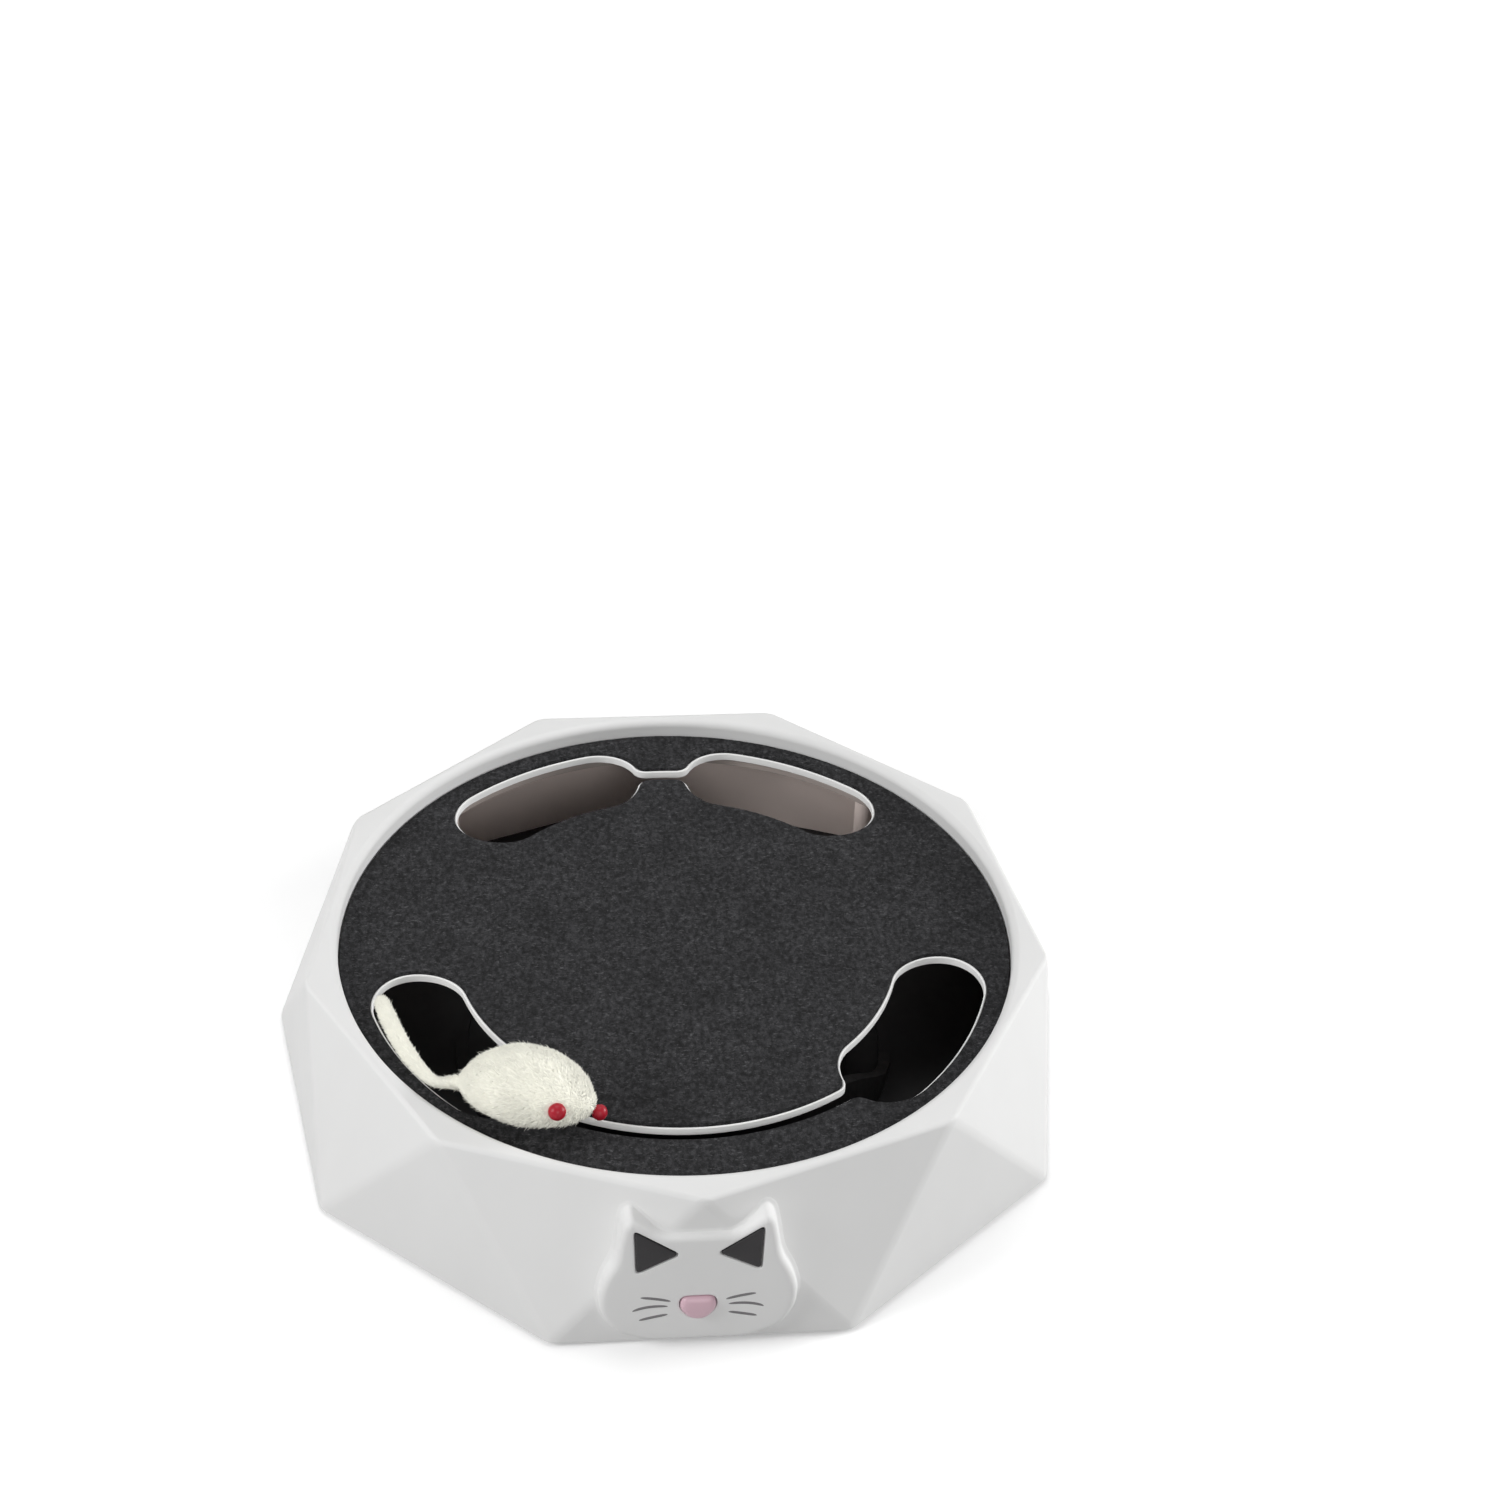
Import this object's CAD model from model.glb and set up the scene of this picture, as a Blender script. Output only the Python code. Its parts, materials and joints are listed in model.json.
# Looks of the electric mouse chase toy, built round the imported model.
# Lengths are millimetres measured from the rotor's axis. at() turns them into the frame's metres.

import json
import math

import bmesh
import bpy
import numpy as np
from mathutils import Matrix, Vector, noise
from mathutils.bvhtree import BVHTree
from mathutils.geometry import delaunay_2d_cdt


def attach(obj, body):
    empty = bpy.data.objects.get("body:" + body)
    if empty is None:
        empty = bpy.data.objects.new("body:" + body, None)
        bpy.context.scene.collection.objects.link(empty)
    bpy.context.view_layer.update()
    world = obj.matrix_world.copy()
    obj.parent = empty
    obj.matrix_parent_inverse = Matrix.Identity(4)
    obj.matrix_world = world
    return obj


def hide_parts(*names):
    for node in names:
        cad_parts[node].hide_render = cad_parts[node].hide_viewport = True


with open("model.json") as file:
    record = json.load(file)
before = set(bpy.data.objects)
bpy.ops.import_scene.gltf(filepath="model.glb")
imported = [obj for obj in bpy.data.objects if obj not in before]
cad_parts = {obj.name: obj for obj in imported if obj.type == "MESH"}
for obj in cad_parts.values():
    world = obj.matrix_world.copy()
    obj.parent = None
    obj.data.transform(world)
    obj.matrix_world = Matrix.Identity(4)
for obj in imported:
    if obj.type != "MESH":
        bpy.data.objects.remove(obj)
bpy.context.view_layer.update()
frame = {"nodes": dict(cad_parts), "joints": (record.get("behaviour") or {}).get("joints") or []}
scene = bpy.context.scene

MM = 0.001
AXIS = Vector(next(j["pos_m"] for j in frame["joints"] if j["name"] == "rotor_spin"))

# Drum: an antiprism with nine top corners, and nine base corners half a pitch further round
SIDES = 9
PITCH = 360 / SIDES
TOP_START = -90
BASE_START = TOP_START + PITCH / 2
BASE_R = 128.9
TOP_R = 0.903 * BASE_R
HEIGHT = 53.5
STAND = 1.2
WALL = 2.4
RIM_ROUND = 2.5
RIDGE_ROUND = 1.9
TOP_ROUND = 1.3
SKIRT_DROP = 8
FACET_H = HEIGHT - STAND
HALF_PITCH_COS = math.cos(math.pi / SIDES)
BASE_APOTHEM = BASE_R * HALF_PITCH_COS
LEAN = math.atan2(BASE_APOTHEM - TOP_R, FACET_H)

# Well, deck and felt
PLATE = 0.041 * HEIGHT
FELT_R = 0.902 * TOP_R
FELT_TOP = HEIGHT * (1 - 0.1065)
DECK_TOP = FELT_TOP - 0.056 * HEIGHT
DECK_LOW = DECK_TOP - PLATE
LEDGE_LOW = DECK_LOW - PLATE
WELL_R = FELT_R + 0.3
LEDGE_R = WELL_R - 0.0525 * FELT_R

# Screw bosses inside the drum
BOSS_ANGLES = (-110, -70, 10, 50, 130, 170)
BOSS_UP = (0.041 + 0.58) * HEIGHT
BOSS_R = 3.6
BOSS_BORE_R = 1.8
BOSS_BORE_TOP = 20
BOSS_INTO_WALL = 0.5

# Track: two tracks of two openings and a slot, as (start, slot from, slot to, end) in degrees
TRACKS = [(-172, -125, -55, -8), (39, 84, 94.8, 139.3)]
TRACK_R = 0.799 * FELT_R
OPEN_W = 0.2686 * FELT_R
SLOT_W = 4.3
LIP = 0.75
LIP_TOP = FELT_TOP - 1.0
UNDERCUT = 2.9

# Cat face on the front facet, as shares of its half width and of the facet's height
FACE_HALF = 0.2265 * BASE_R
FACE_H = 0.956 * FACET_H
FACE_LOW = 1.2
FACE_SHIFT = -1.3
FACE_RISE = 2.6
FACE_ROLL = 2.1
FACE_ROLL_DROP = FACE_ROLL - 0.2
FACE_ROUND = 3.3
FACE_SHARES = [(0.5, 0), (0.83, 0.08), (0.965, 0.22), (0.99, 0.35), (0.93, 0.49), (0.81, 0.62),
               (0.775, 0.78), (0.735, 0.89), (0.66, 0.925), (0.575, 0.89), (0.375, 0.8)]
EYE_SHARES = [(0.63, 0.855), (0.195, 0.672), (0.61, 0.54)]
EYE_ROUND = 1.7
NOSE_HALF = 0.188 * FACE_HALF
NOSE_H = 0.164 * FACE_H
NOSE_LOW = 0.206 * FACE_H
NOSE_ROUND = 2.2
STEM_UP = 0.26 * FACE_H
STEM_R = 2.4
SEAT_GAP = 0.3
WHISKERS = [
    ((-16.6, 18.9), (-12.4, 18.5), (-8.0, 17.1)),
    ((-18.9, 13.8), (-14.9, 15.9), (-8.8, 15.2)),
    ((-17.0, 10.2), (-13.0, 11.3), (-8.8, 12.1)),
]
WHISKER_HALF = 0.58

# Mouse: its length runs along its own x axis
MOUSE_ANGLE = -123.3
MOUSE_HEADING = -20
MOUSE_L = 0.423 * FELT_R
MOUSE_W = 0.592 * MOUSE_L
MOUSE_H = 0.504 * MOUSE_L
MOUSE_R = TRACK_R + 0.103 * MOUSE_L
MOUSE_Z = FELT_TOP + 0.7 + MOUSE_H / 2
RUMP_SAG = 0.44 * MOUSE_H / 2
SNOUT_SAG = 0.3 * MOUSE_H / 2
WAIST = 0.5
RUMP_POWER = 0.65
SNOUT_POWER = 0.6
EYE_R = 0.059 * MOUSE_L
TAIL_R = 0.052 * MOUSE_L
TAIL_BEND = 0.12
TAIL_SIZES = (1, 0.65, 0.85, 1, 1.1, 1.12, 1.08, 0.9)
TAIL_TIP = TRACKS[0][0] + 7.2

# Photograph's own view: lens on a 36 mm sensor, and the camera's place and directions in metres
LENS = 67.81
CAMERA_AT = (-0.0552, -0.6642, 0.6404)
CAMERA_FORWARD = (0.0901, 0.7844, -0.6137)
CAMERA_RIGHT = (0.9935, -0.1142, 0)
CAMERA_ROLL = 2.45

# Studio: name, azimuth, elevation, size in metres and power in watts
LAMPS = [
    ("left_softbox", -166, 30, 0.6, 7.8),
    ("right_softbox", 9, 15, 0.6, 11.5),
    ("top_softbox", 100, 72, 0.9, 4.6),
    ("front_fill", -84, 32, 0.5, 3.7),
]
LAMP_DISTANCE = 1.3
LAMP_TARGET = Vector((0, 0, 0.03))
WORLD_LIGHT = 0.22
FLOOR_HALF = 4
FLOOR_GREY = 0.5
FLOOR_GLOW = 0.16


def linked(name, data):
    thing = bpy.data.objects.new(name, data)
    scene.collection.objects.link(thing)
    return thing


def make_camera():
    data = bpy.data.cameras.new("photo_view")
    camera = linked("photo_view", data)
    data.lens = LENS
    data.sensor_width = 36
    data.clip_start = 0.02
    data.clip_end = 20
    forward = Vector(CAMERA_FORWARD).normalized()
    right = Vector(CAMERA_RIGHT).normalized()
    up = right.cross(forward).normalized()
    turn = Matrix((right, up, -forward)).transposed().to_4x4()
    roll = Matrix.Rotation(math.radians(CAMERA_ROLL), 4, "Z")
    camera.matrix_world = Matrix.Translation(CAMERA_AT) @ turn @ roll
    scene.camera = camera


make_camera()


# Places and shapes
def at(x, y, z):
    return Vector((AXIS.x + x * MM, AXIS.y + y * MM, z * MM))


def polar(radius, angle, z):
    turn = math.radians(angle)
    return at(radius * math.cos(turn), radius * math.sin(turn), z)


def full_turn(count):
    return [2 * math.pi * k / count for k in range(count)]


def lerp(a, b, share):
    return a + (b - a) * share


def smooth(share):
    share = min(1, max(0, share))
    return share * share * (3 - 2 * share)


def curve(first, middle, last, t):
    """A point of the quadratic curve that starts towards middle and ends from it."""
    return first * (1 - t) ** 2 + middle * 2 * t * (1 - t) + last * t * t


def mesh_object(name, bm):
    mesh = bpy.data.meshes.new(name)
    bm.to_mesh(mesh)
    bm.free()
    return linked(name, mesh)


def new_object(name, bm, sharp_angle):
    bmesh.ops.recalc_face_normals(bm, faces=bm.faces)
    piece = mesh_object(name, bm)
    piece.data.shade_smooth()
    piece.data.set_sharp_from_angle(angle=math.radians(sharp_angle))
    return piece


def keep_modifiers(piece):
    held = bpy.context.evaluated_depsgraph_get()
    result = bpy.data.meshes.new_from_object(piece.evaluated_get(held))
    piece.modifiers.clear()
    old = piece.data
    piece.data = result
    bpy.data.meshes.remove(old)


def dress(piece, body, slot, *makers, covers=()):
    for maker in makers:
        piece.data.materials.append(maker)
    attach(piece, body)
    if covers:
        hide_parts(*covers)
    return piece


def circle(bm, radius, z, steps=240):
    return [bm.verts.new(polar(radius, 360 * i / steps, z)) for i in range(steps)]


def bridge(bm, first, second, finish=0):
    """Faces between two rings of vertices, or between a ring and a pole."""
    count = max(len(first), len(second))
    for i in range(count):
        j = (i + 1) % count
        if len(first) == 1:
            corners = (first[0], second[i], second[j])
        elif len(second) == 1:
            corners = (second[0], first[i], first[j])
        else:
            corners = (first[i], first[j], second[j], second[i])
        bm.faces.new(corners).material_index = finish


def bridge_all(bm, rings, finish=0):
    for first, second in zip(rings, rings[1:]):
        bridge(bm, first, second, finish)


def capped(bm, rings):
    bridge_all(bm, rings)
    bm.faces.new(rings[0])
    bm.faces.new(rings[-1])


def turned(bm, profile, place, steps, finish=0):
    """A solid of revolution whose profile starts and ends at a pole."""
    rings = [[bm.verts.new(place((radius * math.cos(a), radius * math.sin(a), z)))
              for a in full_turn(steps if radius else 1)] for radius, z in profile]
    bridge_all(bm, rings, finish)


def inside(points, loops):
    """Even-odd test of 2D points against closed loops."""
    hit = np.zeros(len(points), bool)
    x, y = points[:, 0:1], points[:, 1:2]
    for loop in loops:
        a = np.asarray(loop, float)
        b = np.roll(a, -1, axis=0)
        ax, ay, bx, by = a[:, 0], a[:, 1], b[:, 0], b[:, 1]
        spans = (ay > y) != (by > y)
        with np.errstate(divide="ignore", invalid="ignore"):
            cross = (bx - ax) * (y - ay) / (by - ay) + ax
        hit ^= (np.sum(spans & (x < cross), axis=1) % 2).astype(bool)
    return hit


def triangles(loops, extra=()):
    """Triangles over the area between closed 2D loops, as indices of the loops' points in order,
    then of any inner points."""
    points, edges = [], []
    for loop in loops:
        start = len(points)
        points += [Vector(p) for p in loop]
        edges += [(start + i, start + (i + 1) % len(loop)) for i in range(len(loop))]
    points += [Vector(p) for p in extra]
    co, _, faces, origin, _, _ = delaunay_2d_cdt(points, edges, [], 0, 1e-6)
    co = np.array([tuple(p) for p in co])
    faces = [f for f in faces if all(origin[k] for k in f)]
    middles = np.array([co[list(f)].mean(axis=0) for f in faces])
    keep = inside(middles, [[tuple(p)[:2] for p in loop] for loop in loops])
    return [[origin[k][0] for k in f] for f, good in zip(faces, keep) if good]


def fill_flat(bm, loops, flat, finish=0):
    verts = [v for loop in loops for v in loop]
    for face in triangles([[flat(v.co) for v in loop] for loop in loops]):
        bm.faces.new([verts[k] for k in face]).material_index = finish


def plan(co):
    return (co.x / MM, co.y / MM)


# Node-built materials
def shader(name, metallic=0, **sockets):
    maker = bpy.data.materials.new(name)
    maker.use_nodes = True
    tree = maker.node_tree
    bsdf = tree.nodes["Principled BSDF"]
    bsdf.inputs["Metallic"].default_value = metallic
    bsdf.inputs["IOR"].default_value = 1.46
    for socket, value in sockets.items():
        bsdf.inputs[socket.replace("_", " ")].default_value = value
    return maker, tree, bsdf


def feed(tree, node, inputs):
    """Sets a node's inputs, each to a value or by a link from another node's output."""
    for name, value in inputs.items():
        socket = node.inputs[name]
        if isinstance(value, bpy.types.NodeSocket):
            tree.links.new(value, socket)
        else:
            socket.default_value = (*value, 1) if socket.type == "RGBA" else value


def put(tree, kind, inputs=None, **settings):
    node = tree.nodes.new(kind)
    for key, value in settings.items():
        setattr(node, key, value)
    feed(tree, node, inputs or {})
    return node


def coords(tree, stretch=(1, 1, 1), turn=(0, 0, 0)):
    where = put(tree, "ShaderNodeTexCoord").outputs["Object"]
    mapping = {"Vector": where, "Scale": stretch, "Rotation": turn}
    return put(tree, "ShaderNodeMapping", mapping).outputs["Vector"]


def noise_of(tree, scale, detail, rough, stretch=(1, 1, 1), turn=(0, 0, 0)):
    return put(tree, "ShaderNodeTexNoise", {
        "Vector": coords(tree, stretch, turn), "Scale": scale, "Detail": detail,
        "Roughness": rough}).outputs["Fac"]


def ramp(tree, value, stops):
    node = put(tree, "ShaderNodeValToRGB", {"Fac": value})
    line = node.color_ramp
    while len(line.elements) < len(stops):
        line.elements.new(0.5)
    for element, (place, colour) in zip(line.elements, stops):
        element.position = place
        element.color = (*colour, 1)
    return node.outputs["Color"]


def rescale(tree, value, low, high, from_low=0.3, from_high=0.7):
    return put(tree, "ShaderNodeMapRange", {
        "Value": value, "From Min": from_low, "From Max": from_high, "To Min": low,
        "To Max": high}).outputs["Result"]


def mixed(tree, first, second, how, share):
    return put(tree, "ShaderNodeMix", data_type="RGBA", blend_type=how,
               inputs={"Factor": share, 6: first, 7: second}).outputs[2]


def shade_of(colour, share):
    return tuple(min(1, c * share) for c in colour)


def tones(tree, value, colour, less, more):
    """One colour that runs a little darker and a little paler with a noise value."""
    return ramp(tree, value, [(0.3, shade_of(colour, 1 - less)), (0.7, shade_of(colour, 1 + more))])


def surface(tree, bsdf, tone, gloss, rough, height, strength, distance, after=None):
    """Joins a tone, a roughness range and a bump to the shader."""
    feed(tree, bsdf, {"Base Color": tone, "Roughness": rescale(tree, gloss, *rough),
                      "Normal": bump(tree, height, strength, distance, after)})


def bump(tree, height, strength, distance, after=None):
    inputs = {"Height": height, "Strength": strength, "Distance": distance}
    if after:
        inputs["Normal"] = after
    return put(tree, "ShaderNodeBump", inputs).outputs["Normal"]


def moulded(name, colour, rough, vary, grain=2600, depth=0.00004, **sockets):
    """Moulded plastic or rubber: faint flow marks, fine grain and uneven gloss."""
    maker, tree, bsdf = shader(name, **sockets)
    flow = noise_of(tree, 45, 4, 0.5, (1, 1, 0.5))
    gloss = noise_of(tree, 160, 5, 0.6)
    fine = noise_of(tree, grain, 2, 0.5)
    tone = tones(tree, flow, colour, vary, vary)
    surface(tree, bsdf, tone, gloss, rough, fine, 0.25, depth)
    return maker


def metal(name, colour):
    """Drawn or turned metal: fine lines along one direction."""
    maker, tree, bsdf = shader(name, metallic=1)
    lines = noise_of(tree, 900, 3, 0.6, (1, 1, 12))
    tone = tones(tree, lines, colour, 0.08, 0.08)
    surface(tree, bsdf, tone, lines, (0.22, 0.38), lines, 0.2, 0.00002)
    return maker


def felted(name, dark, middle, light):
    """Needle felt: dark wool with paler fibres laid every way, matt and slightly fuzzy."""
    maker, tree, bsdf = shader(name, Specular_IOR_Level=0.2)
    cloud = noise_of(tree, 560, 4, 0.8, (1.2, 0.8, 1))
    tone = ramp(tree, cloud, [(0.37, dark), (0.5, middle), (0.64, shade_of(middle, 2.2))])
    for turn, place in ((0.3, 0.58), (1.25, 0.6), (2.2, 0.59), (2.9, 0.61)):
        strands = noise_of(tree, 400, 4, 0.8, (1, 2, 1), (0, 0, turn))
        pale = rescale(tree, strands, 0, 0.8, place, place + 0.1)
        tone = mixed(tree, tone, light, "MIX", pale)
    drift = noise_of(tree, 60, 3, 0.6)
    tone = mixed(tree, tone, rescale(tree, drift, 0.82, 1.18), "MULTIPLY", 1.0)
    fuzz = bump(tree, noise_of(tree, 1500, 4, 0.7), 0.6, 0.0002)
    lumps = noise_of(tree, 420, 2, 0.5)
    surface(tree, bsdf, tone, cloud, (0.88, 1.0), lumps, 0.4, 0.0005, fuzz)
    return maker


def plush(name, colour, vary=0.05):
    """Short pile: slightly uneven cream, matt, with a soft sheen."""
    maker, tree, bsdf = shader(name, Sheen_Weight=0.15, Sheen_Roughness=0.5)
    patches = noise_of(tree, 140, 4, 0.6)
    fine = noise_of(tree, 2400, 3, 0.6)
    tone = tones(tree, patches, colour, vary, vary / 2)
    surface(tree, bsdf, tone, patches, (0.85, 1.0), fine, 0.5, 0.0001)
    return maker


def sleeve(name, colour, band, step_x):
    """Cell sleeve: plain shrink film in two tones with a crisp step between them."""
    maker, tree, bsdf = shader(name)
    where = put(tree, "ShaderNodeTexCoord").outputs["Object"]
    split = put(tree, "ShaderNodeSeparateXYZ", {"Vector": where})
    step = rescale(tree, split.outputs["X"], 0, 1, step_x, step_x + 0.0002)
    wear = noise_of(tree, 300, 4, 0.6)
    tone = mixed(tree, tones(tree, wear, colour, 0.1, 0.1), band, "MIX", step)
    surface(tree, bsdf, tone, wear, (0.25, 0.4), wear, 0.1, 0.00005)
    return maker


def board(name, colour):
    """Circuit board: green lacquer over faint straight tracks."""
    maker, tree, bsdf = shader(name)
    tracks = put(tree, "ShaderNodeTexBrick", {
        "Vector": coords(tree), "Scale": 260, "Mortar Size": 0.03, "Color1": colour,
        "Color2": shade_of(colour, 1.25), "Mortar": shade_of(colour, 1.9)}).outputs
    weave = noise_of(tree, 900, 3, 0.5)
    surface(tree, bsdf, tracks["Color"], weave, (0.35, 0.5), tracks["Fac"], 0.2, 0.00003)
    return maker


white = moulded("white_shell_plastic", (0.80, 0.80, 0.795), (0.5, 0.62), 0.012, depth=0.00003,
                Specular_IOR_Level=0.25)
lip_white = moulded("white_lip_plastic", (0.95, 0.95, 0.94), (0.5, 0.62), 0.012, depth=0.00003,
                    Specular_IOR_Level=0.25)
ledge_shade = moulded("dull_ledge_plastic", (0.4, 0.345, 0.32), (0.6, 0.75), 0.03, 1800)
inner_white = moulded("unpolished_shell_inside", (0.92, 0.79, 0.735), (0.6, 0.75), 0.03, 1800)
black = moulded("black_moulded_plastic", (0.011, 0.011, 0.012), (0.45, 0.6), 0.15)
eye_black = moulded("black_eye_plastic", (0.02, 0.0185, 0.02), (0.4, 0.54), 0.06,
                    Specular_IOR_Level=0.3)
pink = moulded("pink_button_plastic", (0.68, 0.46, 0.53), (0.3, 0.42), 0.03)
line_grey = moulded("grey_whisker_line", (0.17, 0.165, 0.17), (0.5, 0.65), 0.12)
rubber = moulded("dark_foot_rubber", (0.05, 0.05, 0.052), (0.75, 0.9), 0.12, 1800, 0.0001)
nylon = moulded("pale_gear_nylon", (0.8, 0.76, 0.65), (0.42, 0.55), 0.03, Subsurface_Weight=0.1)
red = moulded("red_bead", (0.4, 0.01, 0.025), (0.3, 0.42), 0.08, 900, 0.00001,
              Specular_IOR_Level=0.3)
steel = metal("bright_steel", (0.6, 0.61, 0.63))
brass = metal("turned_brass", (0.6, 0.42, 0.12))
green = board("green_circuit_board", (0.02, 0.16, 0.06))
blue = sleeve("blue_cell_sleeve", (0.05, 0.18, 0.4), (0.55, 0.55, 0.53), 0.012)
felt = felted("charcoal_needle_felt", (0.008, 0.008, 0.0084), (0.0215, 0.0215, 0.0227),
              (0.1, 0.1, 0.105))
cream_skin = plush("cream_plush_backing", (0.96, 0.95, 0.85))
cream_pile = plush("cream_plush_pile", (0.9, 0.89, 0.79), 0.09)

# CAD nodes that stay get the finish of their slot
FINISH = {
    "white_plastic": white, "black_plastic": black, "charcoal_felt": felt,
    "cream_plush": cream_skin, "red_bead": red, "pink_plastic": pink, "grey_rubber": rubber,
    "pale_nylon": nylon, "steel": steel, "brass": brass, "green_board": green,
    "cell_sleeve": blue,
}


for node in frame["nodes"].values():
    held = node.data.materials
    slot = held[0].name if held else ""
    maker = next((finish for name, finish in FINISH.items() if slot.startswith(name)), black)
    if not held:
        held.append(maker)
    for index in range(len(held)):
        held[index] = maker


# Housing: the faceted drum with soft ridges, a rounded rim and the well inside it
def corners_of(radius, start, z):
    return [polar(radius, start + PITCH * i, z) for i in range(SIDES)]


def soft_drum():
    """The antiprism with rounded edges, and the ring of vertices at its foot. It is made with a
    skirt below its base, so that the foot can be cut off cleanly."""
    skirt_r = (BASE_APOTHEM + SKIRT_DROP * math.tan(LEAN)) / HALF_PITCH_COS
    bm = bmesh.new()
    top, base, skirt = ([bm.verts.new(p) for p in corners_of(*row)] for row in (
        (TOP_R, TOP_START, HEIGHT), (BASE_R, BASE_START, STAND),
        (skirt_r, BASE_START, STAND - SKIRT_DROP)))
    for i in range(SIDES):
        j = (i + 1) % SIDES
        bm.faces.new((top[i], base[i], top[j]))
        bm.faces.new((top[j], base[i], skirt[i], skirt[j], base[j]))
    bm.faces.new(top)
    bm.faces.new(skirt[::-1])
    soft = bm.edges.layers.float.new("bevel_weight_edge")
    for edge in bm.edges:
        high = all(v in top for v in edge.verts)
        low = all(v in skirt for v in edge.verts)
        edge[soft] = 0 if low else (TOP_ROUND / RIDGE_ROUND if high else 1)
    shape = mesh_object("drum", bm)
    round_off = shape.modifiers.new("round", "BEVEL")
    round_off.limit_method = "WEIGHT"
    round_off.width = RIDGE_ROUND * MM
    round_off.segments = 5
    round_off.use_clamp_overlap = False
    keep_modifiers(shape)
    rounded = shape.data
    bpy.data.objects.remove(shape)
    bm = bmesh.new()
    bm.from_mesh(rounded)
    bpy.data.meshes.remove(rounded)
    cut = bmesh.ops.bisect_plane(bm, geom=bm.verts[:] + bm.edges[:] + bm.faces[:], dist=1e-7,
                                 plane_co=at(0, 0, STAND), plane_no=(0, 0, 1),
                                 clear_inner=True)
    foot = {v for e in cut["geom_cut"] if isinstance(e, bmesh.types.BMEdge) for v in e.verts}
    return bm, sorted(foot, key=lambda v: math.atan2(v.co.y - AXIS.y, v.co.x - AXIS.x))


def widest(bm, way, least):
    """The largest face that looks one way."""
    return max((f for f in bm.faces if f.normal.dot(way) > least), key=lambda f: f.calc_area())


def facet_flat(co):
    """A point near the front facet as millimetres across and up the facet, and its depth."""
    p = (co - AXIS) / MM
    y = p.y + BASE_APOTHEM
    z = co.z / MM - STAND
    up = y * math.sin(LEAN) + z * math.cos(LEAN)
    depth = -y * math.cos(LEAN) + z * math.sin(LEAN)
    return p.x, up, depth


def facet_plan(co):
    return facet_flat(co)[:2]


def on_facet(x, up, depth):
    """The reverse: millimetres on the front facet to a place in the frame."""
    y = up * math.sin(LEAN) - depth * math.cos(LEAN) - BASE_APOTHEM
    z = up * math.cos(LEAN) + depth * math.sin(LEAN) + STAND
    return at(x, y, z)


def facet_ring(bm, points, depth):
    return [bm.verts.new(on_facet(x, y, depth)) for x, y in points]


def sunk(bm, ring, depth):
    """A copy of a ring of vertices at one depth along the facet's normal, joined to the ring."""
    copy = facet_ring(bm, [facet_plan(v.co) for v in ring], depth)
    bridge(bm, ring, copy)
    return copy


def even_loop(points, step):
    result = []
    count = len(points)
    for i, point in enumerate(points):
        after = points[(i + 1) % count]
        parts = max(1, round((after - point).length / step))
        result += [point.lerp(after, k / parts) for k in range(parts)]
    return [p for i, p in enumerate(result) if (p - result[i - 1]).length > 0.05]


def rounded_loop(corners, size, steps=8):
    """A closed outline whose corners are short curves, with points along its straight runs."""
    points = []
    count = len(corners)
    for i, corner in enumerate(corners):
        before, after = corners[i - 1], corners[(i + 1) % count]
        start = corner.lerp(before, min(0.45, size / (corner - before).length))
        end = corner.lerp(after, min(0.45, size / (corner - after).length))
        points += [curve(start, corner, end, k / steps) for k in range(steps + 1)]
    return even_loop(points, 0.45)


def face_point(share, side):
    return Vector((FACE_SHIFT + side * share[0] * FACE_HALF, FACE_LOW + share[1] * FACE_H))


def face_loop():
    right = [face_point(share, 1) for share in FACE_SHARES]
    left = [face_point(share, -1) for share in reversed(FACE_SHARES)]
    return rounded_loop(right + left, FACE_ROUND)


def eye_loop(side, grow):
    corners = [face_point(share, side) for share in EYE_SHARES]
    middle = sum(corners, Vector((0, 0))) / 3
    corners = [c + (c - middle).normalized() * 2 * grow for c in corners]
    return rounded_loop(corners[::side], EYE_ROUND + grow)


def nose_loop(grow):
    half = NOSE_HALF + grow
    low, high = NOSE_LOW - grow, NOSE_LOW + NOSE_H + grow
    middle = (low + high) / 2
    corners = [(-half * 0.4, low), (half * 0.4, low), (half, middle), (half * 0.86, high),
               (-half * 0.86, high), (-half, middle)]
    return rounded_loop([Vector((FACE_SHIFT + x, y)) for x, y in corners], NOSE_ROUND + grow)


def well_profile():
    """Rim, well wall and ledge, from the lid inwards and down, then out under the lid."""
    turns = [k / 8 * math.pi / 2 for k in range(9)]
    soft = 0.4
    return [(WELL_R + RIM_ROUND * (1 - math.sin(turn)), HEIGHT - RIM_ROUND * (1 - math.cos(turn)))
            for turn in turns] + [
        (WELL_R, DECK_LOW + soft), (WELL_R - 0.12, DECK_LOW + 0.12), (WELL_R - soft, DECK_LOW),
        (LEDGE_R + soft, DECK_LOW), (LEDGE_R + 0.1, DECK_LOW - 0.1), (LEDGE_R, DECK_LOW - soft),
        (LEDGE_R, LEDGE_LOW + soft), (LEDGE_R + 0.1, LEDGE_LOW + 0.1),
        (LEDGE_R + soft, LEDGE_LOW), (WELL_R + WALL, LEDGE_LOW), (WELL_R + WALL, HEIGHT - WALL)]


def boss_profile():
    low, high = STAND + PLATE + 0.3, STAND + BOSS_UP
    return [(0, BOSS_BORE_TOP), (BOSS_BORE_R, BOSS_BORE_TOP), (BOSS_BORE_R, low), (3.4, low),
            (BOSS_R, low + 0.2), (BOSS_R, high - 0.4), (3.2, high), (0, high)]


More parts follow.
